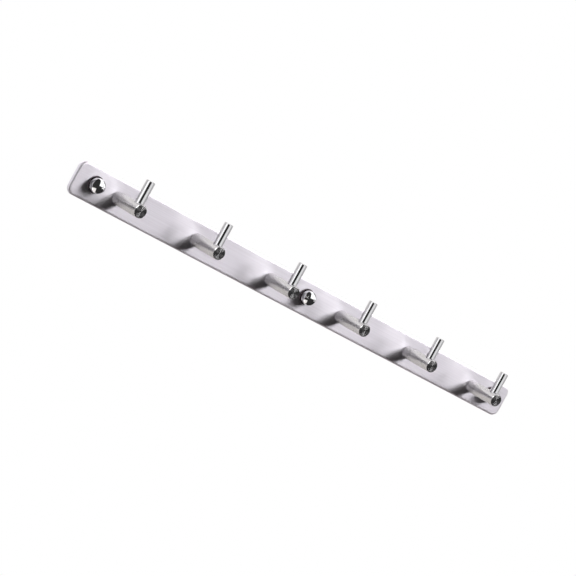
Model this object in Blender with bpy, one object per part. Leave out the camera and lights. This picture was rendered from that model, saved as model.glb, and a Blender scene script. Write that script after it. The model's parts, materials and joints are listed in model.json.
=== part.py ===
"""Wall hook rack: a long steel back plate with a row of upright-pinned pegs.

Frame: metres, +X along the rack, +Z up, the room in front at -Y.  The wall is
the plane Y = 0, and the origin is the centre of the plate's back face.

Each hook is a round peg that stands out of the plate on a countersunk screw
from behind, with a thinner pin set upright in a cross hole near its tip.  Three
wood screws hold the plate to the wall, each through a collar, and a dome cap
pushed over the collar hides the screw's head.
"""
import math

import bmesh
import bpy
from mathutils import Matrix, Vector

MM = 0.001
GAP = 0.3 * MM                      # clearance left between touching pieces

# Back plate
PLATE_LENGTH = 606 * MM
PLATE_HEIGHT = 35 * MM
PLATE_THICKNESS = 4 * MM
PLATE_CORNER = 8 * MM               # radius of the four corners
PLATE_EDGE = 2.5 * MM               # radius of the rounded front edge

# Hooks
HOOK_COUNT = 6
HOOK_SPACING = 100 * MM
PEG_RADIUS = 6.75 * MM
PEG_LENGTH = 46.8 * MM
PEG_CHAMFER = 0.6 * MM
PIN_RADIUS = 4.75 * MM
PIN_FROM_TIP = 9.5 * MM             # pin axis behind the peg's end face
PIN_TOP = 29.5 * MM                 # top of the pin above the peg's axis
PIN_SEAT = 3.0 * MM                 # bottom of the pin below the peg's axis
PIN_ROUND = 1.3 * MM                # rounding of the pin's top edge

# Screw that holds each peg from behind
PEG_SCREW_RADIUS = 2.5 * MM
PEG_SCREW_HEAD = 4.6 * MM           # head radius
PEG_SCREW_SUNK = 0.2 * MM           # head below the plate's back face
PEG_SCREW_TIP = 16.5 * MM           # screw's end in front of the wall plane
PEG_HOLE_DEPTH = 14 * MM
HEX_SOCKET = 1.7 * MM               # corner radius of the drive socket
HEX_DEPTH = 1.6 * MM

# Wall fixings, a little above the line of the pegs
FIXING_NAMES = ("left", "centre", "right")
FIXING_OFFSET = 279 * MM            # outer screws from the rack's middle
FIXING_HEIGHT = 1.5 * MM
WALL_SCREW_RADIUS = 2.0 * MM
WALL_SCREW_HEAD = 4.0 * MM          # head radius
WALL_SCREW_DEPTH = 30 * MM          # length that enters the wall
WALL_SCREW_POINT = 6 * MM           # length of the conical point
WALL_SCREW_BLUNT = 0.3 * MM         # radius of the point's end
CROSS_REACH = 2.1 * MM              # cross recess, centre to arm's end
CROSS_WIDTH = 0.9 * MM
CROSS_DEPTH = 1.6 * MM
CROSS_FLARE = 1.3                   # cutter's top size over its bottom size

# Collar and dome cap, measured outwards from the plate's front face
COLLAR_RADIUS = 8.5 * MM            # widest, where the collar meets the plate
BEAD_RADIUS = 1.4 * MM              # rounding of the collar's outer edge
FLANGE_TOP = 2.8 * MM
BOSS_RADIUS = 5.5 * MM
BOSS_BORE = 4.6 * MM
BOSS_TOP = 6.1 * MM
SCREW_HEAD_TOP = 2.6 * MM
CAP_RADIUS = 7.6 * MM
DOME_CENTRE = 5.6 * MM              # centre of the dome's sphere
DOME_BORE = BOSS_RADIUS + GAP
SMALL_CHAMFER = 0.2 * MM

# Modelling: side counts, steps round each rounding, and tolerances
PEG_SIDES = 36
PIN_SIDES = 28
SCREW_SIDES = 20
CAP_SIDES = 32
CORNER_STEPS = 6
EDGE_STEPS = 3
BEAD_STEPS = 3
DOME_STEPS = 7
PIN_TOP_STEPS = 3

CUT_OVER = 1 * MM                   # how far a cutter stands past a face
SMOOTH_LIMIT = math.radians(35)
MERGE = 1e-7

SATIN_STEEL = (0.60, 0.59, 0.61, 1.0)
BRUSHED_STEEL = (0.66, 0.65, 0.68, 1.0)
POLISHED_STEEL = (0.78, 0.78, 0.80, 1.0)
CHROME = (0.85, 0.85, 0.86, 1.0)
SCREW_STEEL = (0.55, 0.55, 0.56, 1.0)

PLATE_FRONT = -PLATE_THICKNESS
PEG_BASE = PLATE_FRONT - GAP
OUT_OF_WALL = (math.radians(90), 0.0, 0.0)   # turns local +Z to world -Y


def clear_scene():
    for obj in list(bpy.data.objects):
        bpy.data.objects.remove(obj, do_unlink=True)
    for mesh in list(bpy.data.meshes):
        bpy.data.meshes.remove(mesh)
    for material in list(bpy.data.materials):
        bpy.data.materials.remove(material)


def make_material(name, colour, roughness):
    material = bpy.data.materials.new(name)
    material.use_nodes = True
    shader = material.node_tree.nodes["Principled BSDF"]
    shader.inputs["Base Color"].default_value = colour
    shader.inputs["Roughness"].default_value = roughness
    shader.inputs["Metallic"].default_value = 1.0
    return material


def add_object(name, mesh, location=(0, 0, 0), rotation=(0, 0, 0)):
    obj = bpy.data.objects.new(name, mesh)
    obj.location = location
    obj.rotation_euler = rotation
    bpy.context.scene.collection.objects.link(obj)
    return obj


def finish_mesh(bm, name, material=None):
    """Close the bmesh into a mesh with outward, smooth-shaded faces."""
    bmesh.ops.remove_doubles(bm, verts=bm.verts, dist=MERGE)
    bmesh.ops.recalc_face_normals(bm, faces=bm.faces)
    mesh = bpy.data.meshes.new(name)
    bm.to_mesh(mesh)
    bm.free()
    mesh.shade_smooth()
    mesh.set_sharp_from_angle(angle=SMOOTH_LIMIT)
    if material:
        mesh.materials.append(material)
    return mesh


def arc(centre, radius, start, end, steps):
    """Points (r, z) on an arc about centre, from start to end degrees."""
    points = []
    for i in range(steps + 1):
        angle = math.radians(start + (end - start) * i / steps)
        points.append((centre[0] + radius * math.cos(angle),
                       centre[1] + radius * math.sin(angle)))
    return points


def turned(bm, profile, sides, closed=False, place=None):
    """Turn a profile of (radius, height) points about the Z axis."""
    verts = [bm.verts.new((r, 0.0, z)) for r, z in profile]
    edges = [bm.edges.new(pair) for pair in zip(verts, verts[1:])]
    if closed:
        edges.append(bm.edges.new((verts[-1], verts[0])))
    before = set(bm.verts) - set(verts)
    bmesh.ops.spin(bm, geom=verts + edges, cent=(0, 0, 0), axis=(0, 0, 1),
                   angle=math.tau, steps=sides, use_duplicate=False)
    if place:
        added = [v for v in bm.verts if v not in before]
        bmesh.ops.transform(bm, matrix=place, verts=added)


def turned_mesh(name, profile, sides, material=None, closed=False):
    bm = bmesh.new()
    turned(bm, profile, sides, closed)
    return finish_mesh(bm, name, material)


def prism(bm, outline, bottom, top, top_scale=1.0):
    """Extrude an outline of (x, y) points from bottom to top height."""
    face = bm.faces.new([bm.verts.new((x, y, bottom)) for x, y in outline])
    raised = bmesh.ops.extrude_face_region(bm, geom=[face])["geom"]
    verts = [item for item in raised if isinstance(item, bmesh.types.BMVert)]
    bmesh.ops.translate(bm, vec=(0, 0, top - bottom), verts=verts)
    bmesh.ops.scale(bm, vec=(top_scale, top_scale, 1), verts=verts)


def cutter(name, mesh, location=(0, 0, 0), rotation=(0, 0, 0)):
    obj = add_object(name, mesh, location, rotation)
    obj.hide_render = True
    obj.display_type = "WIRE"
    return obj


def subtract(obj, tool):
    boolean = obj.modifiers.new("cut_" + tool.name, "BOOLEAN")
    boolean.operation = "DIFFERENCE"
    boolean.solver = "EXACT"
    boolean.object = tool


def cut_mesh(name, mesh, tool_mesh):
    """The mesh with the tool mesh cut out of it, for copies to share."""
    blank = add_object("blank", mesh)
    tool = cutter("tool", tool_mesh)
    subtract(blank, tool)
    graph = bpy.context.evaluated_depsgraph_get()
    result = bpy.data.meshes.new_from_object(blank.evaluated_get(graph))
    result.name = name
    result.set_sharp_from_angle(angle=SMOOTH_LIMIT)
    for obj in (blank, tool):
        bpy.data.objects.remove(obj, do_unlink=True)
    return result


def hook_positions():
    middle = (HOOK_COUNT - 1) / 2
    return [(i - middle) * HOOK_SPACING for i in range(HOOK_COUNT)]


def fixing_positions():
    return zip(FIXING_NAMES, (-FIXING_OFFSET, 0.0, FIXING_OFFSET))


# ---------------------------------------------------------------- back plate

def plate_outline():
    points = []
    half_x = PLATE_LENGTH / 2 - PLATE_CORNER
    half_z = PLATE_HEIGHT / 2 - PLATE_CORNER
    corners = ((half_x, half_z, 0), (-half_x, half_z, 90),
               (-half_x, -half_z, 180), (half_x, -half_z, 270))
    for x, z, start in corners:
        points += arc((x, z), PLATE_CORNER, start, start + 90, CORNER_STEPS)
    return points


def plate_blank(material):
    """The plate lying on its back, with its front edge rounded."""
    bm = bmesh.new()
    prism(bm, plate_outline(), 0.0, PLATE_THICKNESS)
    front = [e for e in bm.edges
             if all(v.co.z > PLATE_THICKNESS / 2 for v in e.verts)]
    bmesh.ops.bevel(bm, geom=front, offset=PLATE_EDGE, segments=EDGE_STEPS,
                    profile=0.5, affect="EDGES")
    return finish_mesh(bm, "back_plate", material)


def wall_screw_holes(bm):
    """Straight clearance holes right through the plate."""
    radius = WALL_SCREW_RADIUS + GAP
    far_side = PLATE_THICKNESS + CUT_OVER
    profile = [(0, -CUT_OVER), (radius, -CUT_OVER), (radius, far_side), (0, far_side)]
    for _, x in fixing_positions():
        place = Matrix.Translation((x, FIXING_HEIGHT, 0))
        turned(bm, profile, SCREW_SIDES, place=place)


def peg_screw_holes(bm):
    """Holes countersunk from the plate's back."""
    radius = PEG_SCREW_RADIUS + GAP
    mouth = PEG_SCREW_HEAD + GAP
    straight = PEG_SCREW_SUNK + GAP
    far_side = PLATE_THICKNESS + CUT_OVER
    profile = [
        (0, -CUT_OVER),
        (mouth, -CUT_OVER),
        (mouth, straight),
        (radius, straight + mouth - radius),
        (radius, far_side),
        (0, far_side),
    ]
    for x in hook_positions():
        turned(bm, profile, SCREW_SIDES, place=Matrix.Translation((x, 0, 0)))


def plate_holes():
    bm = bmesh.new()
    wall_screw_holes(bm)
    peg_screw_holes(bm)
    return finish_mesh(bm, "plate_holes")


def add_back_plate():
    steel = make_material("brushed_plate", BRUSHED_STEEL, 0.35)
    plate = add_object("back_plate", plate_blank(steel), rotation=OUT_OF_WALL)
    holes = cutter("plate_hole_cutter", plate_holes(), rotation=OUT_OF_WALL)
    subtract(plate, holes)


# --------------------------------------------------------------------- hooks
# A peg is turned about local Z, which points out of the wall; local Y is up.

def peg_mesh(material):
    hole = PEG_SCREW_RADIUS + GAP
    profile = [
        (0, PEG_HOLE_DEPTH),
        (hole, PEG_HOLE_DEPTH),
        (hole, 0),
        (PEG_RADIUS - SMALL_CHAMFER, 0),
        (PEG_RADIUS, SMALL_CHAMFER),
        (PEG_RADIUS, PEG_LENGTH - PEG_CHAMFER),
        (PEG_RADIUS - PEG_CHAMFER, PEG_LENGTH),
        (0, PEG_LENGTH),
    ]
    blank = turned_mesh("peg_blank", profile, PEG_SIDES, material)
    return cut_mesh("hook_peg", blank, pin_hole())


def pin_hole():
    """Blind cross hole for the pin, open at the top of the peg."""
    bm = bmesh.new()
    radius = PIN_RADIUS + GAP
    bottom = -PIN_SEAT - GAP
    top = PEG_RADIUS + CUT_OVER
    upright = Matrix.Rotation(math.radians(-90), 4, "X")
    along = Matrix.Translation((0, 0, PEG_LENGTH - PIN_FROM_TIP))
    turned(bm, [(0, bottom), (radius, bottom), (radius, top), (0, top)],
           PIN_SIDES, place=along @ upright)
    return finish_mesh(bm, "pin_hole")


def pin_mesh(material):
    shoulder = (PIN_RADIUS - PIN_ROUND, PIN_TOP - PIN_ROUND)
    profile = [
        (0, -PIN_SEAT),
        (PIN_RADIUS - SMALL_CHAMFER, -PIN_SEAT),
        (PIN_RADIUS, -PIN_SEAT + SMALL_CHAMFER),
        *arc(shoulder, PIN_ROUND, 0, 90, PIN_TOP_STEPS),
        (0, PIN_TOP),
    ]
    return turned_mesh("hook_pin", profile, PIN_SIDES, material)


def peg_screw_mesh(material):
    """Countersunk screw, its head on the wall side and its end in the peg."""
    head_bottom = PEG_SCREW_SUNK + PEG_SCREW_HEAD - PEG_SCREW_RADIUS
    profile = [
        (0, PEG_SCREW_SUNK),
        (PEG_SCREW_HEAD, PEG_SCREW_SUNK),
        (PEG_SCREW_RADIUS, head_bottom),
        (PEG_SCREW_RADIUS, PEG_SCREW_TIP - 2 * SMALL_CHAMFER),
        (PEG_SCREW_RADIUS - 2 * SMALL_CHAMFER, PEG_SCREW_TIP),
        (0, PEG_SCREW_TIP),
    ]
    blank = turned_mesh("peg_screw_blank", profile, SCREW_SIDES, material)
    socket = bmesh.new()
    hexagon = arc((0, 0), HEX_SOCKET, 0, 300, 5)
    prism(socket, hexagon, PEG_SCREW_SUNK - CUT_OVER, PEG_SCREW_SUNK + HEX_DEPTH)
    return cut_mesh("peg_screw", blank, finish_mesh(socket, "hex_socket"))


def add_hooks():
    peg = peg_mesh(make_material("satin_peg", SATIN_STEEL, 0.3))
    pin = pin_mesh(make_material("polished_pin", POLISHED_STEEL, 0.1))
    screw = peg_screw_mesh(make_material("peg_screw_steel", SCREW_STEEL, 0.35))
    pin_depth = PEG_BASE - PEG_LENGTH + PIN_FROM_TIP
    for number, x in enumerate(hook_positions(), start=1):
        add_object(f"hook_peg_{number}", peg, (x, PEG_BASE, 0), OUT_OF_WALL)
        add_object(f"hook_pin_{number}", pin, (x, pin_depth, 0))
        add_object(f"peg_screw_{number}", screw, (x, 0, 0), OUT_OF_WALL)


# -------------------------------------------------------------- wall fixings
# Turned about local Z, which points out of the wall from the plate's front.

def cross_outline():
    """Outline of a cross recess: four arms about the screw's axis."""
    reach, half = CROSS_REACH, CROSS_WIDTH / 2
    arm = [Vector((reach, -half)), Vector((reach, half)), Vector((half, half))]
    points = []
    for quarter in range(4):
        turn = Matrix.Rotation(quarter * math.pi / 2, 2)
        points += [tuple(turn @ corner) for corner in arm]
    return points


def wall_screw_mesh(material):
    wall = -PLATE_THICKNESS
    tip = wall - WALL_SCREW_DEPTH
    neck = SCREW_HEAD_TOP - (WALL_SCREW_HEAD - WALL_SCREW_RADIUS)
    profile = [
        (0, tip),
        (WALL_SCREW_BLUNT, tip),
        (WALL_SCREW_RADIUS, tip + WALL_SCREW_POINT),
        (WALL_SCREW_RADIUS, neck),
        (WALL_SCREW_HEAD, SCREW_HEAD_TOP),
        (0, SCREW_HEAD_TOP),
    ]
    blank = turned_mesh("wall_screw_blank", profile, SCREW_SIDES, material)
    recess = bmesh.new()
    prism(recess, cross_outline(), SCREW_HEAD_TOP - CROSS_DEPTH,
          SCREW_HEAD_TOP + CUT_OVER, top_scale=CROSS_FLARE)
    return cut_mesh("wall_screw", blank, finish_mesh(recess, "cross_recess"))


def collar_mesh(material):
    """Round-edged flange, countersunk for the screw, with a boss for the cap."""
    hole = WALL_SCREW_RADIUS + GAP
    seat = GAP + SMALL_CHAMFER
    bead = (COLLAR_RADIUS - BEAD_RADIUS, FLANGE_TOP - BEAD_RADIUS)
    profile = [
        (hole, GAP),
        (COLLAR_RADIUS - SMALL_CHAMFER, GAP),
        (COLLAR_RADIUS, GAP + SMALL_CHAMFER),
        *arc(bead, BEAD_RADIUS, 0, 90, BEAD_STEPS),
        (BOSS_RADIUS, FLANGE_TOP),
        (BOSS_RADIUS, BOSS_TOP - SMALL_CHAMFER),
        (BOSS_RADIUS - SMALL_CHAMFER, BOSS_TOP),
        (BOSS_BORE, BOSS_TOP),
        (BOSS_BORE, seat + BOSS_BORE - hole),
        (hole, seat),
    ]
    return turned_mesh("cap_collar", profile, CAP_SIDES, material, closed=True)


def dome_mesh(material):
    """Domed shell whose bore slips over the collar's boss."""
    rim = FLANGE_TOP + GAP
    bore_end = DOME_CENTRE + GAP
    profile = [
        *reversed(arc((0, DOME_CENTRE), CAP_RADIUS, 0, 90, DOME_STEPS)),
        (CAP_RADIUS, rim + SMALL_CHAMFER),
        (CAP_RADIUS - SMALL_CHAMFER, rim),
        (DOME_BORE, rim),
        *arc((0, bore_end), DOME_BORE, 0, 90, DOME_STEPS - 2),
    ]
    return turned_mesh("cap_dome", profile, CAP_SIDES, material)


def add_fixings():
    screw = wall_screw_mesh(make_material("wall_screw_steel", SCREW_STEEL, 0.35))
    collar = collar_mesh(make_material("chrome_collar", CHROME, 0.08))
    dome = dome_mesh(make_material("chrome_dome", CHROME, 0.03))
    for name, x in fixing_positions():
        place = (x, PLATE_FRONT, FIXING_HEIGHT)
        add_object("wall_screw_" + name, screw, place, OUT_OF_WALL)
        add_object("cap_collar_" + name, collar, place, OUT_OF_WALL)
        add_object("cap_dome_" + name, dome, place, OUT_OF_WALL)


clear_scene()
add_back_plate()
add_hooks()
add_fixings()
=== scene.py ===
"""Looks of the wall hook rack: detailed pieces, steel materials, studio and camera.

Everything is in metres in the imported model's frame: +X along the rack, +Z up,
the room in front at -Y, the wall plane at Y = 0.
"""

import json
import math

import bmesh
import bpy
from mathutils import Matrix, Vector
from mathutils.bvhtree import BVHTree
from mathutils.interpolate import poly_3d_calc

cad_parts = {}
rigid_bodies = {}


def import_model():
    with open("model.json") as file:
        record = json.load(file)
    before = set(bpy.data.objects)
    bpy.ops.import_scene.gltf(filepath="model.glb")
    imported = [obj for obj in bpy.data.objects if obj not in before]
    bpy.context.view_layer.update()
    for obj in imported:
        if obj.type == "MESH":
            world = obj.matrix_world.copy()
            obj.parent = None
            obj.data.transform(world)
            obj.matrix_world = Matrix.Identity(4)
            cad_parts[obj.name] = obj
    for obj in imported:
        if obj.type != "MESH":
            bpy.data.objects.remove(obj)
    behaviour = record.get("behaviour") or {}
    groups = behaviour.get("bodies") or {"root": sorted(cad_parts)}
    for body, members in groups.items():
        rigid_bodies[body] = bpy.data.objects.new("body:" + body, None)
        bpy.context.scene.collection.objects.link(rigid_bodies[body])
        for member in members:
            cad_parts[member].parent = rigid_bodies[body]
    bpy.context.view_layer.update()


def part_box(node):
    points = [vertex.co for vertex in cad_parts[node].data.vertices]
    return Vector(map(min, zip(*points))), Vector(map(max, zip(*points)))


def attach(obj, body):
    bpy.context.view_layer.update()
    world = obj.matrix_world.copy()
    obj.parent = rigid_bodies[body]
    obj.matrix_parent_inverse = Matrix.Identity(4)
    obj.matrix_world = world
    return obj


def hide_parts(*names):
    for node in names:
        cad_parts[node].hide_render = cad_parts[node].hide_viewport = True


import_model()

MM = 0.001
HOOKS = range(1, 7)
FIXINGS = ("left", "centre", "right")
OUT_OF_WALL = Matrix.Rotation(math.radians(90), 4, "X")   # local +Z to world -Y

SHOWN_GAP = 0.05 * MM               # gap shown between pieces that touch
CAD_GAP = 0.3 * MM                  # gap that the CAD solids keep there
OVERCUT = 1 * MM                    # how far a cutter stands past a face

# Plate
PLATE_CORNER = 8 * MM
PLATE_EDGE = 2.5 * MM
PLATE_BACK_CHAMFER = 0.25 * MM
PLATE_CORNER_STEPS = 24
PLATE_EDGE_STEPS = 8
WALL_HOLE = 2.3 * MM
PEG_HOLE = 2.8 * MM
PEG_HOLE_MOUTH = 4.9 * MM
PEG_HOLE_STRAIGHT = 0.5 * MM

# Hooks
PEG_TIP_ROUND = 1.0 * MM
PEG_FOOT_CHAMFER = 1.0 * MM
PEG_BORE_DEPTH = 14 * MM
PIN_HOLE_GAP = 0.06 * MM
PIN_ROUND = 1.3 * MM
PIN_FOOT_CHAMFER = 0.2 * MM

# Collars and domes, measured outwards from the plate's front
BEAD_RADIUS = 1.4 * MM
BOSS_RADIUS = 5.5 * MM
BOSS_BORE = 4.6 * MM
COLLAR_EASE = 0.2 * MM              # chamfer of the boss and start of the screw's seat
COLLAR_FOOT_CHAMFER = 0.1 * MM
DOME_RIM_ROUND = 0.25 * MM
DOME_BORE_GAP = 0.15 * MM
DOME_STEPS = 32
DOME_BORE_STEPS = 16
DOME_RIM_STEPS = 4

# Screws
PEG_SCREW = {"major": 2.5 * MM, "minor": 2.1 * MM, "head": 4.6 * MM, "pitch": 0.8 * MM,
             "taper": 0.8 * MM}
WALL_SCREW = {"major": 2.0 * MM, "minor": 1.35 * MM, "head": 4.0 * MM, "pitch": 1.8 * MM,
              "taper": 6 * MM}
WALL_SCREW_SHANK = 3 * MM           # plain stretch below the head
HEAD_EDGE = 0.15 * MM
THREAD_POINT = 0.15 * MM            # thinnest radius, at the screw's point
RIDGE_SLOPE = 2.6                   # steepness of a thread's sides
HEX_SOCKET = 1.7 * MM
HEX_DEPTH = 1.6 * MM
CROSS_REACH = 2.1 * MM
CROSS_WIDTH = 0.9 * MM
CROSS_DEPTH = 1.6 * MM
CROSS_FLARE = 1.3
THREAD_SIDES = 40
THREAD_RINGS = 8                    # rings to one turn of a thread

TURNED_SIDES = 128
PIN_SIDES = 96
HOLE_SIDES = 64
ROUND_STEPS = 6
FINE_ROUND_STEPS = 10
SMOOTH_LIMIT = math.radians(35)
MERGE = 0.001 * MM
SAME_SURFACE = 0.002 * MM           # a cut face this near the blank belongs to it
SAME_FACING = 0.999


# ------------------------------------------------------------------ meshes

def arc(centre, radius, start, end, steps):
    """Points (r, z) on an arc about centre, from start to end degrees."""
    points = []
    for i in range(steps + 1):
        angle = math.radians(start + (end - start) * i / steps)
        points.append((centre[0] + radius * math.cos(angle),
                       centre[1] + radius * math.sin(angle)))
    return points


def smoothed(mesh):
    """Shade the mesh smooth, with the large faces setting the direction at edges."""
    name = mesh.name
    mesh.shade_smooth()
    mesh.set_sharp_from_angle(angle=SMOOTH_LIMIT)
    obj = bpy.data.objects.new("smoothing", mesh)
    bpy.context.scene.collection.objects.link(obj)
    weighted = obj.modifiers.new("weighted", "WEIGHTED_NORMAL")
    weighted.mode = "FACE_AREA"
    weighted.weight = 100
    weighted.keep_sharp = True
    graph = bpy.context.evaluated_depsgraph_get()
    result = bpy.data.meshes.new_from_object(obj.evaluated_get(graph))
    bpy.data.objects.remove(obj, do_unlink=True)
    bpy.data.meshes.remove(mesh)
    result.name = name
    return result


def finish_mesh(bm, name):
    bmesh.ops.remove_doubles(bm, verts=bm.verts, dist=MERGE)
    bmesh.ops.recalc_face_normals(bm, faces=bm.faces)
    mesh = bpy.data.meshes.new(name)
    bm.to_mesh(mesh)
    bm.free()
    return smoothed(mesh)


def turned(bm, profile, sides, closed=False, place=None):
    """Turn a profile of (radius, height) points about the Z axis."""
    verts = [bm.verts.new((r, 0.0, z)) for r, z in profile]
    edges = [bm.edges.new(pair) for pair in zip(verts, verts[1:])]
    if closed:
        edges.append(bm.edges.new((verts[-1], verts[0])))
    before = set(bm.verts) - set(verts)
    bmesh.ops.spin(bm, geom=verts + edges, cent=(0, 0, 0), axis=(0, 0, 1),
                   angle=math.tau, steps=sides, use_duplicate=False)
    if place:
        added = [v for v in bm.verts if v not in before]
        bmesh.ops.transform(bm, matrix=place, verts=added)


def turned_mesh(name, profile, sides, closed=False):
    bm = bmesh.new()
    turned(bm, profile, sides, closed)
    return finish_mesh(bm, name)


def prism(bm, outline, bottom, top, top_scale=1.0):
    """Extrude an outline of (x, y) points from bottom to top height."""
    face = bm.faces.new([bm.verts.new((x, y, bottom)) for x, y in outline])
    raised = bmesh.ops.extrude_face_region(bm, geom=[face])["geom"]
    verts = [item for item in raised if isinstance(item, bmesh.types.BMVert)]
    bmesh.ops.translate(bm, vec=(0, 0, top - bottom), verts=verts)
    bmesh.ops.scale(bm, vec=(top_scale, top_scale, 1), verts=verts)


def carry_normals(mesh, blank):
    """Give the faces that are left over from the blank the blank's smooth normals."""
    blank.calc_loop_triangles()
    points = [vertex.co.copy() for vertex in blank.vertices]
    corners = [normal.vector.copy() for normal in blank.corner_normals]
    triangles = [tuple(triangle.vertices) for triangle in blank.loop_triangles]
    loops = [tuple(triangle.loops) for triangle in blank.loop_triangles]
    tree = BVHTree.FromPolygons(points, triangles)
    normals = [normal.vector.copy() for normal in mesh.corner_normals]
    for polygon in mesh.polygons:
        for index in polygon.loop_indices:
            point = mesh.vertices[mesh.loops[index].vertex_index].co
            best, most = None, SAME_FACING
            for _, facing, triangle, _ in tree.find_nearest_range(point, SAME_SURFACE):
                match = facing.dot(polygon.normal)
                if match > most:
                    best, most = triangle, match
            if best is not None:
                shares = poly_3d_calc([points[i] for i in triangles[best]], point)
                blend = sum((corners[i] * share for i, share in zip(loops[best], shares)),
                            Vector())
                normals[index] = blend.normalized()
    mesh.normals_split_custom_set(normals)


def cut_mesh(name, mesh, tool_mesh):
    """The mesh with the tool mesh cut out of it."""
    pair = []
    for label, data in (("blank", mesh), ("tool", tool_mesh)):
        obj = bpy.data.objects.new(label, data)
        bpy.context.scene.collection.objects.link(obj)
        pair.append(obj)
    blank, tool = pair
    boolean = blank.modifiers.new("cut", "BOOLEAN")
    boolean.operation = "DIFFERENCE"
    boolean.solver = "EXACT"
    boolean.object = tool
    graph = bpy.context.evaluated_depsgraph_get()
    result = bpy.data.meshes.new_from_object(blank.evaluated_get(graph))
    for obj in pair:
        bpy.data.objects.remove(obj, do_unlink=True)
    result.name = name
    blended = result.attributes.get("custom_normal")
    if blended:
        result.attributes.remove(blended)
    result.shade_smooth()
    result.set_sharp_from_angle(angle=SMOOTH_LIMIT)
    carry_normals(result, mesh)
    return result


def add_piece(name, mesh, place, node, body, material):
    """A visible piece that stands for one CAD node and rides on its body."""
    obj = bpy.data.objects.new(name, mesh)
    obj.matrix_world = place
    bpy.context.scene.collection.objects.link(obj)
    if not mesh.materials:
        mesh.materials.append(material)
    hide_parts(node)
    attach(obj, body)


# --------------------------------------------------------------- materials

NOISE_ROUGHNESS = 0.6
NOISE_LOW = 0.3                     # the noise's middle range, which gets spread
NOISE_HIGH = 0.7
QUARTER_TURN = 0.25
LINE_DEPTH = 2e-6                   # depths of the relief, in metres
FINE_LINE_DEPTH = 6e-7
SCRATCH_DEPTH = 5e-8
SCREW_PITTING = 4e-6


def new_metal(name):
    material = bpy.data.materials.new(name)
    material.use_nodes = True
    nodes = material.node_tree.nodes
    shader = nodes["Principled BSDF"]
    shader.inputs["Metallic"].default_value = 1.0
    return material, nodes, material.node_tree.links, shader


def grain(nodes, links, stretch, detail):
    """Noise stretched along one or two axes of the object, in metres."""
    place = nodes.new("ShaderNodeTexCoord")
    mapping = nodes.new("ShaderNodeMapping")
    mapping.inputs["Scale"].default_value = stretch
    noise = nodes.new("ShaderNodeTexNoise")
    noise.inputs["Scale"].default_value = 1.0
    noise.inputs["Detail"].default_value = detail
    noise.inputs["Roughness"].default_value = NOISE_ROUGHNESS
    links.new(place.outputs["Object"], mapping.inputs["Vector"])
    links.new(mapping.outputs["Vector"], noise.inputs["Vector"])
    return noise


def spread(nodes, links, source, low, high):
    """The source's middle range spread from low to high."""
    span = nodes.new("ShaderNodeMapRange")
    span.inputs["From Min"].default_value = NOISE_LOW
    span.inputs["From Max"].default_value = NOISE_HIGH
    span.inputs["To Min"].default_value = low
    span.inputs["To Max"].default_value = high
    links.new(source.outputs["Fac"], span.inputs["Value"])
    return span


def tint(nodes, links, source, dark, light):
    ramp = nodes.new("ShaderNodeValToRGB")
    ramp.color_ramp.elements[0].position = NOISE_LOW
    ramp.color_ramp.elements[0].color = (*dark, 1)
    ramp.color_ramp.elements[1].position = NOISE_HIGH
    ramp.color_ramp.elements[1].color = (*light, 1)
    links.new(source.outputs["Fac"], ramp.inputs["Fac"])
    return ramp


def relief(nodes, links, source, depth, normal=None):
    bump = nodes.new("ShaderNodeBump")
    bump.inputs["Strength"].default_value = 1.0
    bump.inputs["Distance"].default_value = depth
    links.new(source.outputs["Fac"], bump.inputs["Height"])
    if normal:
        links.new(normal.outputs["Normal"], bump.inputs["Normal"])
    return bump


def brushed_plate_material():
    """Stainless steel with lengthwise brush lines, soft wear and faint smears."""
    material, nodes, links, shader = new_metal("brushed_plate_steel")
    lines = grain(nodes, links, (6, 900, 900), detail=6)
    fine = grain(nodes, links, (40, 5000, 5000), detail=2)
    cloud = grain(nodes, links, (18, 30, 30), detail=3)
    colour = tint(nodes, links, lines, (0.80, 0.785, 0.81), (0.87, 0.86, 0.885))
    links.new(colour.outputs["Color"], shader.inputs["Base Color"])
    rough = spread(nodes, links, cloud, 0.40, 0.46)
    links.new(rough.outputs["Result"], shader.inputs["Roughness"])
    coarse = relief(nodes, links, lines, LINE_DEPTH)
    bump = relief(nodes, links, fine, FINE_LINE_DEPTH, coarse)
    links.new(bump.outputs["Normal"], shader.inputs["Normal"])
    across = nodes.new("ShaderNodeCombineXYZ")
    across.inputs["Z"].default_value = 1.0
    links.new(across.outputs["Vector"], shader.inputs["Tangent"])
    shader.inputs["Anisotropic"].default_value = 1.0
    return material


def turned_sheen(nodes, links, shader, strength):
    """The streaked reflection that turning round local Z leaves."""
    tangent = nodes.new("ShaderNodeTangent")
    tangent.direction_type = "RADIAL"
    tangent.axis = "Z"
    links.new(tangent.outputs["Tangent"], shader.inputs["Tangent"])
    shader.inputs["Anisotropic"].default_value = strength
    shader.inputs["Anisotropic Rotation"].default_value = QUARTER_TURN


def satin_peg_material():
    """Satin steel turned on a lathe: fine rings round the peg and on its end."""
    material, nodes, links, shader = new_metal("satin_peg_steel")
    rings = grain(nodes, links, (20, 20, 700), detail=3)
    cloud = grain(nodes, links, (60, 60, 60), detail=4)
    colour = tint(nodes, links, rings, (0.75, 0.735, 0.745), (0.81, 0.80, 0.815))
    links.new(colour.outputs["Color"], shader.inputs["Base Color"])
    rough = spread(nodes, links, cloud, 0.26, 0.28)
    links.new(rough.outputs["Result"], shader.inputs["Roughness"])
    turned_sheen(nodes, links, shader, 0.95)
    return material


def polished_pin_material():
    """Polished steel with hair-fine turning marks."""
    material, nodes, links, shader = new_metal("polished_pin_steel")
    rings = grain(nodes, links, (40, 40, 2500), detail=4)
    cloud = grain(nodes, links, (120, 120, 60), detail=3)
    colour = tint(nodes, links, cloud, (0.86, 0.855, 0.87), (0.92, 0.915, 0.93))
    links.new(colour.outputs["Color"], shader.inputs["Base Color"])
    rough = spread(nodes, links, rings, 0.11, 0.13)
    links.new(rough.outputs["Result"], shader.inputs["Roughness"])
    turned_sheen(nodes, links, shader, 1.0)
    return material


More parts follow.
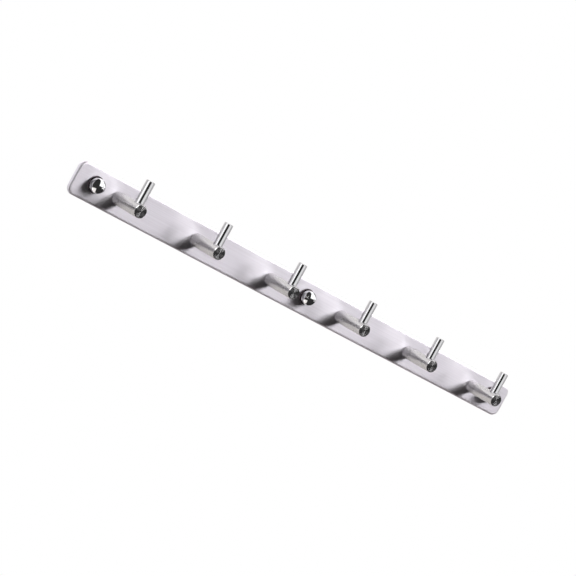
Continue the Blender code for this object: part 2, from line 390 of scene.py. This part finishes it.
def chrome_material(name, dark, light):
    """Mirror chrome with a trace of haze and handling marks."""
    material, nodes, links, shader = new_metal(name)
    haze = grain(nodes, links, (220, 220, 220), detail=5)
    scratch = grain(nodes, links, (1800, 200, 500), detail=5)
    colour = tint(nodes, links, haze, dark, light)
    links.new(colour.outputs["Color"], shader.inputs["Base Color"])
    rough = spread(nodes, links, haze, 0.03, 0.07)
    links.new(rough.outputs["Result"], shader.inputs["Roughness"])
    bump = relief(nodes, links, scratch, SCRATCH_DEPTH)
    links.new(bump.outputs["Normal"], shader.inputs["Normal"])
    return material


def screw_material():
    material, nodes, links, shader = new_metal("plain_screw_steel")
    cloud = grain(nodes, links, (900, 900, 900), detail=5)
    colour = tint(nodes, links, cloud, (0.46, 0.455, 0.45), (0.62, 0.615, 0.61))
    links.new(colour.outputs["Color"], shader.inputs["Base Color"])
    rough = spread(nodes, links, cloud, 0.28, 0.42)
    links.new(rough.outputs["Result"], shader.inputs["Roughness"])
    bump = relief(nodes, links, cloud, SCREW_PITTING)
    links.new(bump.outputs["Normal"], shader.inputs["Normal"])
    return material


PLATE_STEEL = brushed_plate_material()
PEG_STEEL = satin_peg_material()
PIN_STEEL = polished_pin_material()
CHROME = chrome_material("mirror_chrome", (0.88, 0.88, 0.89), (0.94, 0.94, 0.95))
# The collar rings' chrome is painted nearly black all round: painted shade for the shade and
# shadow the domes cast on them.
COLLAR_PAINTED_SHADE_CHROME = chrome_material("shaded_chrome", (0.15, 0.125, 0.135), (0.20, 0.17, 0.18))
SCREW_STEEL = screw_material()


# ------------------------------------------------------------------- plate

def centre_of(node):
    low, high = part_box(node)
    return [(a + b) / 2 for a, b in zip(low, high)]


PLATE_LOW, PLATE_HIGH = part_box("back_plate")
PLATE_THICKNESS = PLATE_HIGH[1] - PLATE_LOW[1]
PLATE_FRONT = PLATE_LOW[1]


def plate_outline():
    points = []
    half_x = (PLATE_HIGH[0] - PLATE_LOW[0]) / 2 - PLATE_CORNER
    half_z = (PLATE_HIGH[2] - PLATE_LOW[2]) / 2 - PLATE_CORNER
    corners = ((half_x, half_z, 0), (-half_x, half_z, 90),
               (-half_x, -half_z, 180), (half_x, -half_z, 270))
    for x, z, start in corners:
        points += arc((x, z), PLATE_CORNER, start, start + 90, PLATE_CORNER_STEPS)
    return points


def plate_blank():
    """The plate lying on its back, both its edges eased."""
    bm = bmesh.new()
    prism(bm, plate_outline(), 0.0, PLATE_THICKNESS)
    middle = PLATE_THICKNESS / 2
    back = [e for e in bm.edges if all(v.co.z < middle for v in e.verts)]
    bmesh.ops.bevel(bm, geom=back, offset=PLATE_BACK_CHAMFER, segments=2,
                    profile=0.5, affect="EDGES")
    front = [e for e in bm.edges if all(v.co.z > middle for v in e.verts)]
    bmesh.ops.bevel(bm, geom=front, offset=PLATE_EDGE, segments=PLATE_EDGE_STEPS,
                    profile=0.5, affect="EDGES")
    return finish_mesh(bm, "plate_blank")


def plate_holes():
    bm = bmesh.new()
    far_side = PLATE_THICKNESS + OVERCUT
    wall = [(0, -OVERCUT), (WALL_HOLE, -OVERCUT), (WALL_HOLE, far_side), (0, far_side)]
    for name in FIXINGS:
        x, _, z = centre_of("wall_screw_" + name)
        turned(bm, wall, HOLE_SIDES, place=Matrix.Translation((x, z, 0)))
    slope = PEG_HOLE_STRAIGHT + PEG_HOLE_MOUTH - PEG_HOLE
    peg = [(0, -OVERCUT), (PEG_HOLE_MOUTH, -OVERCUT), (PEG_HOLE_MOUTH, PEG_HOLE_STRAIGHT),
           (PEG_HOLE, slope), (PEG_HOLE, far_side), (0, far_side)]
    for number in HOOKS:
        x, _, z = centre_of(f"hook_peg_{number}")
        turned(bm, peg, HOLE_SIDES, place=Matrix.Translation((x, z, 0)))
    return finish_mesh(bm, "plate_holes")


def add_plate():
    mesh = cut_mesh("steel_plate", plate_blank(), plate_holes())
    mesh.transform(OUT_OF_WALL)
    mesh.materials.clear()
    add_piece("steel_plate", mesh, Matrix.Identity(4), "back_plate", "rack",
              PLATE_STEEL)


# ------------------------------------------------------------------- hooks

def peg_mesh(radius, length, pin_radius, pin_height, pin_bottom):
    """A peg turned about local Z, its base at 0; local Y is up."""
    tip = (radius - PEG_TIP_ROUND, length - PEG_TIP_ROUND)
    profile = [
        (0, PEG_BORE_DEPTH),
        (PEG_HOLE, PEG_BORE_DEPTH - PEG_HOLE / 2),
        (PEG_HOLE, 0),
        (radius - PEG_FOOT_CHAMFER, 0),
        (radius, PEG_FOOT_CHAMFER),
        *arc(tip, PEG_TIP_ROUND, 0, 90, ROUND_STEPS),
        (0, length),
    ]
    hole = bmesh.new()
    hole_radius = pin_radius + PIN_HOLE_GAP
    bottom = pin_bottom - PIN_HOLE_GAP
    top = radius + OVERCUT
    upright = Matrix.Rotation(math.radians(-90), 4, "X")
    turned(hole, [(0, bottom), (hole_radius, bottom), (hole_radius, top), (0, top)],
           HOLE_SIDES, place=Matrix.Translation((0, 0, pin_height)) @ upright)
    blank = turned_mesh("peg_blank", profile, TURNED_SIDES)
    return cut_mesh("round_peg", blank, finish_mesh(hole, "pin_hole"))


def pin_mesh(radius, bottom, top):
    shoulder = (radius - PIN_ROUND, top - PIN_ROUND)
    profile = [
        (0, bottom),
        (radius - PIN_FOOT_CHAMFER, bottom),
        (radius, bottom + PIN_FOOT_CHAMFER),
        *arc(shoulder, PIN_ROUND, 0, 90, FINE_ROUND_STEPS),
        (0, top),
    ]
    return turned_mesh("upright_pin", profile, PIN_SIDES)


def add_hooks():
    low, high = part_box("hook_peg_1")
    pin_low, pin_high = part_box("hook_pin_1")
    base = PLATE_FRONT - SHOWN_GAP
    pin_y = (pin_low[1] + pin_high[1]) / 2
    peg = peg_mesh((high[0] - low[0]) / 2, base - low[1], (pin_high[0] - pin_low[0]) / 2,
                   base - pin_y, pin_low[2])
    pin = pin_mesh((pin_high[0] - pin_low[0]) / 2, pin_low[2], pin_high[2])
    for number in HOOKS:
        x, _, z = centre_of(f"hook_peg_{number}")
        place = Matrix.Translation((x, base, z)) @ OUT_OF_WALL
        add_piece(f"round_peg_{number}", peg, place, f"hook_peg_{number}", "rack",
                  PEG_STEEL)
        place = Matrix.Translation((x, pin_y, 0))
        add_piece(f"upright_pin_{number}", pin, place, f"hook_pin_{number}", "rack",
                  PIN_STEEL)


# ------------------------------------------------------------------ screws

def thread_rings(bm, start, end, screw):
    """Rings of a helical thread from start to end height, thinner over its taper."""
    step = screw["pitch"] / THREAD_RINGS
    count = round(abs(end - start) / step)
    rings = []
    for i in range(count + 1):
        z = start + (end - start) * i / count
        thin = min(1.0, abs(end - z) / screw["taper"])
        run_in = min(1.0, abs(z - start) / screw["pitch"])
        ring = []
        for side in range(THREAD_SIDES):
            turn = side / THREAD_SIDES
            phase = (z / screw["pitch"] - turn) % 1.0
            ridge = max(0.0, 1.0 - abs(phase - 0.5) * RIDGE_SLOPE)
            radius = screw["minor"] + (screw["major"] - screw["minor"]) * ridge * run_in
            radius = max(THREAD_POINT, radius * thin)
            angle = math.tau * turn
            ring.append(bm.verts.new((radius * math.cos(angle), radius * math.sin(angle), z)))
        rings.append(ring)
    return rings


def plain_ring(bm, radius, z):
    return [bm.verts.new((radius * math.cos(math.tau * i / THREAD_SIDES),
                          radius * math.sin(math.tau * i / THREAD_SIDES), z))
            for i in range(THREAD_SIDES)]


def screw_mesh(name, head_rings, start, end, screw, tool):
    """A screw: head rings first, then the thread, closed at both ends."""
    bm = bmesh.new()
    rings = [plain_ring(bm, radius, z) for radius, z in head_rings]
    rings += thread_rings(bm, start, end, screw)
    for one, two in zip(rings, rings[1:]):
        for i in range(THREAD_SIDES):
            j = (i + 1) % THREAD_SIDES
            bm.faces.new((one[i], one[j], two[j], two[i]))
    bm.faces.new(rings[0])
    bm.faces.new(rings[-1])
    return cut_mesh(name, finish_mesh(bm, name + "_blank"), tool)


def hex_tool(top):
    bm = bmesh.new()
    hexagon = arc((0, 0), HEX_SOCKET, 0, 300, 5)
    prism(bm, hexagon, top - OVERCUT, top + HEX_DEPTH)
    return finish_mesh(bm, "hex_socket")


def cross_tool(top):
    bm = bmesh.new()
    half = CROSS_WIDTH / 2
    arm = [Vector((CROSS_REACH, -half)), Vector((CROSS_REACH, half)), Vector((half, half))]
    points = []
    for quarter in range(4):
        turn = Matrix.Rotation(quarter * math.pi / 2, 2)
        points += [tuple(turn @ corner) for corner in arm]
    prism(bm, points, top - CROSS_DEPTH, top + OVERCUT, top_scale=CROSS_FLARE)
    return finish_mesh(bm, "cross_recess")


def add_screws():
    low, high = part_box("peg_screw_1")
    top, tip = -high[1], -low[1]      # heights out of the wall plane
    neck = top + PEG_SCREW["head"] - PEG_SCREW["minor"]
    head = [(PEG_SCREW["head"] - HEAD_EDGE, top), (PEG_SCREW["head"], top + HEAD_EDGE),
            (PEG_SCREW["minor"], neck)]
    mesh = screw_mesh("countersunk_screw", head, neck + HEAD_EDGE, tip, PEG_SCREW,
                      hex_tool(top))
    for number in HOOKS:
        x, _, z = centre_of(f"peg_screw_{number}")
        place = Matrix.Translation((x, 0, z)) @ OUT_OF_WALL
        add_piece(f"countersunk_screw_{number}", mesh, place, f"peg_screw_{number}",
                  "rack", SCREW_STEEL)
    low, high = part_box("wall_screw_left")
    top, tip = -low[1], -high[1]
    neck = top - (WALL_SCREW["head"] - WALL_SCREW["minor"])
    head = [(WALL_SCREW["head"] - HEAD_EDGE, top), (WALL_SCREW["head"], top - HEAD_EDGE),
            (WALL_SCREW["minor"], neck)]
    mesh = screw_mesh("wood_screw", head, neck - WALL_SCREW_SHANK, tip, WALL_SCREW,
                      cross_tool(top))
    for name in FIXINGS:
        x, _, z = centre_of("wall_screw_" + name)
        place = Matrix.Translation((x, 0, z)) @ OUT_OF_WALL
        add_piece("wood_screw_" + name, mesh, place, "wall_screw_" + name, "rack",
                  SCREW_STEEL)


# -------------------------------------------------------------------- caps
# Turned about local Z, measured outwards from the plate's front face.

def collar_mesh(radius, top, boss_top):
    hole = WALL_HOLE
    seat = SHOWN_GAP + COLLAR_EASE
    bead = (radius - BEAD_RADIUS, top - BEAD_RADIUS)
    profile = [
        (hole, SHOWN_GAP),
        (radius - COLLAR_FOOT_CHAMFER, SHOWN_GAP),
        (radius, SHOWN_GAP + COLLAR_FOOT_CHAMFER),
        *arc(bead, BEAD_RADIUS, 0, 90, FINE_ROUND_STEPS),
        (BOSS_RADIUS, top),
        (BOSS_RADIUS, boss_top - COLLAR_EASE),
        (BOSS_RADIUS - COLLAR_EASE, boss_top),
        (BOSS_BORE, boss_top),
        (BOSS_BORE, seat + BOSS_BORE - hole),
        (hole, seat),
    ]
    return turned_mesh("collar_ring", profile, TURNED_SIDES, closed=True)


def dome_mesh(radius, rim, top):
    """A domed shell with a rolled rim, open on the collar's side."""
    centre = top - radius
    bore = BOSS_RADIUS + DOME_BORE_GAP
    inner = centre - DOME_BORE_GAP
    lip = (radius - DOME_RIM_ROUND, rim + DOME_RIM_ROUND)
    profile = [
        *reversed(arc((0, centre), radius, 0, 90, DOME_STEPS)),
        *arc(lip, DOME_RIM_ROUND, 0, -90, DOME_RIM_STEPS),
        (bore, rim),
        *arc((0, inner), bore, 0, 90, DOME_BORE_STEPS),
    ]
    return turned_mesh("dome_shell", profile, TURNED_SIDES)


def add_caps():
    low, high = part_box("cap_collar_left")
    dome_low, dome_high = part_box("cap_dome_left")
    flange_top = PLATE_FRONT - dome_high[1] - CAD_GAP
    collar = collar_mesh((high[0] - low[0]) / 2, flange_top, PLATE_FRONT - low[1])
    dome = dome_mesh((dome_high[0] - dome_low[0]) / 2, flange_top + SHOWN_GAP,
                     PLATE_FRONT - dome_low[1])
    for name in FIXINGS:
        x, _, z = centre_of("cap_collar_" + name)
        place = Matrix.Translation((x, PLATE_FRONT, z)) @ OUT_OF_WALL
        add_piece("collar_ring_" + name, collar, place, "cap_collar_" + name, "rack",
                  COLLAR_PAINTED_SHADE_CHROME)
        add_piece("dome_shell_" + name, dome, place, "cap_dome_" + name, "cap_" + name,
                  CHROME)


# ------------------------------------------------------------------ studio

AMBIENT = 0.03
ROOM_TINT = (1, 0.97, 0.98)
CARD_DISTANCE = 4.0
CARD_STEP = 6                       # degrees to one face of a card
FLOOR_DROP = 0.6
FLOOR_RADIUS = 40
FLOOR_SIDES = 96
FLOOR_SHADE_TONE = 0.86                   # painted shade: the floor glows dimmer below the rack, fading to white
FADE_START = 0.1
FADE_END = 0.9
WHITE = (1, 1, 1)
LILAC = (1.0, 0.965, 1.015)
WARM = (1.0, 0.96, 0.93)
PALE_WARM = (1, 0.98, 0.97)
PALE_ROSE = (1, 0.97, 0.96)
ROSE = (1.0, 0.88, 0.90)

# Each group of pieces is lit by its own cards only.
LIT_GROUPS = {
    "plate": ("steel_plate",),
    "pegs": ("round_peg", "countersunk_screw"),
    "pins": ("upright_pin",),
    "domes": ("dome_shell",),
    "collars": ("collar_ring", "wood_screw"),
}


def set_world():
    """White behind the object for the camera, a dim room for everything else."""
    world = bpy.data.worlds.new("studio")
    bpy.context.scene.world = world
    world.use_nodes = True
    nodes, links = world.node_tree.nodes, world.node_tree.links
    nodes.clear()
    white = nodes.new("ShaderNodeBackground")
    dim = nodes.new("ShaderNodeBackground")
    dim.inputs["Strength"].default_value = AMBIENT
    white.inputs["Strength"].default_value = 1.0
    white.inputs["Color"].default_value = (*WHITE, 1)
    dim.inputs["Color"].default_value = (*ROOM_TINT, 1)
    path = nodes.new("ShaderNodeLightPath")
    mix = nodes.new("ShaderNodeMixShader")
    out = nodes.new("ShaderNodeOutputWorld")
    links.new(path.outputs["Is Camera Ray"], mix.inputs["Fac"])
    links.new(dim.outputs["Background"], mix.inputs[1])
    links.new(white.outputs["Background"], mix.inputs[2])
    links.new(mix.outputs["Shader"], out.inputs["Surface"])


def glow_material(name, colour, strength, see_through=False):
    """Even light; see_through lets the light of a card behind it pass."""
    material = bpy.data.materials.new(name)
    material.use_nodes = True
    nodes, links = material.node_tree.nodes, material.node_tree.links
    nodes.clear()
    glow = nodes.new("ShaderNodeEmission")
    glow.inputs["Color"].default_value = (*colour, 1)
    glow.inputs["Strength"].default_value = strength
    out = nodes.new("ShaderNodeOutputMaterial")
    if see_through:
        clear = nodes.new("ShaderNodeBsdfTransparent")
        both = nodes.new("ShaderNodeAddShader")
        links.new(clear.outputs["BSDF"], both.inputs[0])
        links.new(glow.outputs["Emission"], both.inputs[1])
        links.new(both.outputs["Shader"], out.inputs["Surface"])
    else:
        links.new(glow.outputs["Emission"], out.inputs["Surface"])
    return material


def direction(azimuth, elevation):
    """Unit vector: azimuth 0 is straight out of the wall, 90 is to the right."""
    a, e = math.radians(azimuth), math.radians(elevation)
    return Vector((math.sin(a) * math.cos(e), -math.cos(a) * math.cos(e), math.sin(e)))


def lit_collection(group):
    """The pieces that one set of cards lights."""
    name = "lit_" + group
    collection = bpy.data.collections.get(name)
    if collection is None:
        collection = bpy.data.collections.new(name)
        for obj in bpy.context.scene.collection.objects:
            if obj.name.startswith(LIT_GROUPS[group]):
                collection.objects.link(obj)
    return collection


def sky_card(group, label, az_range, el_range, strength, colour=WHITE):
    """A curved card that covers a range of azimuth and elevation for one group."""
    name = group + "_" + label
    bm = bmesh.new()
    columns = max(2, int(abs(az_range[1] - az_range[0]) / CARD_STEP))
    rows = max(2, int(abs(el_range[1] - el_range[0]) / CARD_STEP))
    grid = []
    for i in range(columns + 1):
        az = az_range[0] + (az_range[1] - az_range[0]) * i / columns
        line = []
        for j in range(rows + 1):
            el = el_range[0] + (el_range[1] - el_range[0]) * j / rows
            line.append(bm.verts.new(direction(az, el) * CARD_DISTANCE))
        grid.append(line)
    for i in range(columns):
        for j in range(rows):
            bm.faces.new((grid[i][j], grid[i + 1][j], grid[i + 1][j + 1], grid[i][j + 1]))
    mesh = bpy.data.meshes.new(name)
    bm.to_mesh(mesh)
    bm.free()
    mesh.materials.append(glow_material(name + "_glow", colour, strength, True))
    card = bpy.data.objects.new(name, mesh)
    bpy.context.scene.collection.objects.link(card)
    card.visible_camera = False
    card.visible_shadow = False
    card.light_linking.receiver_collection = lit_collection(group)


def add_floor():
    """A pale glowing floor below the rack that only the camera sees, dimmer right below the
    rack as painted shade.
    """
    bm = bmesh.new()
    bmesh.ops.create_circle(bm, cap_ends=True, segments=FLOOR_SIDES,
                              radius=FLOOR_RADIUS)
    mesh = bpy.data.meshes.new("floor")
    bm.to_mesh(mesh)
    bm.free()
    material = glow_material("pale_floor", WHITE, 1.0)
    nodes, links = material.node_tree.nodes, material.node_tree.links
    place = nodes.new("ShaderNodeTexCoord")
    length = nodes.new("ShaderNodeVectorMath")
    length.operation = "LENGTH"
    fade = nodes.new("ShaderNodeMapRange")
    fade.interpolation_type = "SMOOTHSTEP"
    fade.inputs["From Min"].default_value = FADE_START
    fade.inputs["From Max"].default_value = FADE_END
    fade.inputs["To Min"].default_value = FLOOR_SHADE_TONE
    fade.inputs["To Max"].default_value = 1.0
    links.new(place.outputs["Object"], length.inputs[0])
    links.new(length.outputs["Value"], fade.inputs["Value"])
    links.new(fade.outputs["Result"], nodes["Emission"].inputs["Strength"])
    mesh.materials.append(material)
    floor = bpy.data.objects.new("floor", mesh)
    floor.location = (0, 0, -FLOOR_DROP)
    bpy.context.scene.collection.objects.link(floor)
    floor.visible_glossy = False
    floor.visible_diffuse = False
    floor.visible_shadow = False
    floor.visible_transmission = False


def add_lights():
    light_plate()
    light_pegs()
    light_pins()
    light_caps()


def light_plate():
    sky_card("plate", "key", (15, 78), (24, 50), 4.9, LILAC)
    sky_card("plate", "upper_right", (78, 200), (15, 62), 2.5, LILAC)
    sky_card("plate", "left_key", (-34, 15), (22, 50), 3.6, LILAC)
    sky_card("plate", "top", (-180, 180), (62, 90), 1.0, ROSE)
    sky_card("plate", "left_end", (-160, -100), (-60, 60), 1.0, LILAC)
    sky_card("plate", "left_front", (-100, -52), (-25, 25), 1.2, LILAC)
    sky_card("plate", "right_low", (70, 150), (-60, -15), 0.8, ROSE)
    sky_card("plate", "below", (-180, 180), (-90, -60), 0.45, ROSE)


def light_pegs():
    sky_card("pegs", "key", (24, 60), (14, 50), 1.9)
    sky_card("pegs", "upper_left", (-66, -20), (8, 50), 3.5)
    sky_card("pegs", "top", (-180, 180), (65, 90), 1.0)
    sky_card("pegs", "back_upper", (100, 260), (6, 60), 0.85, PALE_WARM)
    sky_card("pegs", "back_lower", (100, 260), (-70, -10), 0.66, WARM)
    sky_card("pegs", "left", (-100, -60), (-40, 42), 0.4)


def light_pins():
    rise = (-60, 60)
    sky_card("pins", "left_strip", (-97, -57), rise, 1.1)
    sky_card("pins", "left_line", (-145, -97), rise, 0.45)
    sky_card("pins", "back", (100, 215), rise, 0.75, PALE_ROSE)
    sky_card("pins", "right_strip", (-6, 46), rise, 0.75)
    sky_card("pins", "right_line", (46, 88), rise, 0.40)
    sky_card("pins", "right_edge", (88, 100), rise, 0.6)
    sky_card("pins", "top", (-180, 180), (60, 90), 1.0)


def light_caps():
    sky_card("domes", "sky", (-20, 180), (50, 90), 1.3)
    sky_card("domes", "front_right", (-18, 95), (14, 50), 1.3)
    sky_card("domes", "right", (60, 135), (0, 14), 0.75)
    sky_card("domes", "back", (135, 200), (-60, 50), 0.8, WARM)
    sky_card("domes", "back_left", (200, 245), (-60, 12), 0.9, WARM)
    sky_card("domes", "below", (160, 320), (-90, -40), 0.9, WARM)
    sky_card("collars", "right", (40, 150), (-20, 60), 0.8)


# ------------------------------------------------------------------ camera

CAMERA_AZIMUTH = -36.117
CAMERA_ELEVATION = 1.035
CAMERA_ROLL = 28.766
CAMERA_DISTANCE = 2.35938
CAMERA_SIDEWAYS = 0.015512
CAMERA_RISE = -0.008840
CAMERA_LENS = 146.02                # millimetres, as is the sensor
CAMERA_SENSOR = 36
CAMERA_CLIP = (0.01, 100)


def add_camera():
    away = direction(CAMERA_AZIMUTH, CAMERA_ELEVATION)
    forward = -away
    right = forward.cross(Vector((0, 0, 1))).normalized()
    up = right.cross(forward)
    roll = math.radians(CAMERA_ROLL)
    rolled_right = right * math.cos(roll) + up * math.sin(roll)
    rolled_up = up * math.cos(roll) - right * math.sin(roll)
    data = bpy.data.cameras.new("camera")
    data.lens = CAMERA_LENS
    data.sensor_width = CAMERA_SENSOR
    data.clip_start, data.clip_end = CAMERA_CLIP
    camera = bpy.data.objects.new("camera", data)
    spot = -(rolled_right * CAMERA_SIDEWAYS + rolled_up * CAMERA_RISE
             + forward * CAMERA_DISTANCE)
    turn = Matrix((rolled_right, rolled_up, away)).transposed().to_4x4()
    camera.matrix_world = Matrix.Translation(spot) @ turn
    bpy.context.scene.collection.objects.link(camera)
    bpy.context.scene.camera = camera


add_plate()
add_hooks()
add_screws()
add_caps()
set_world()
add_floor()
add_lights()
add_camera()
bpy.context.scene.view_settings.view_transform = "Standard"
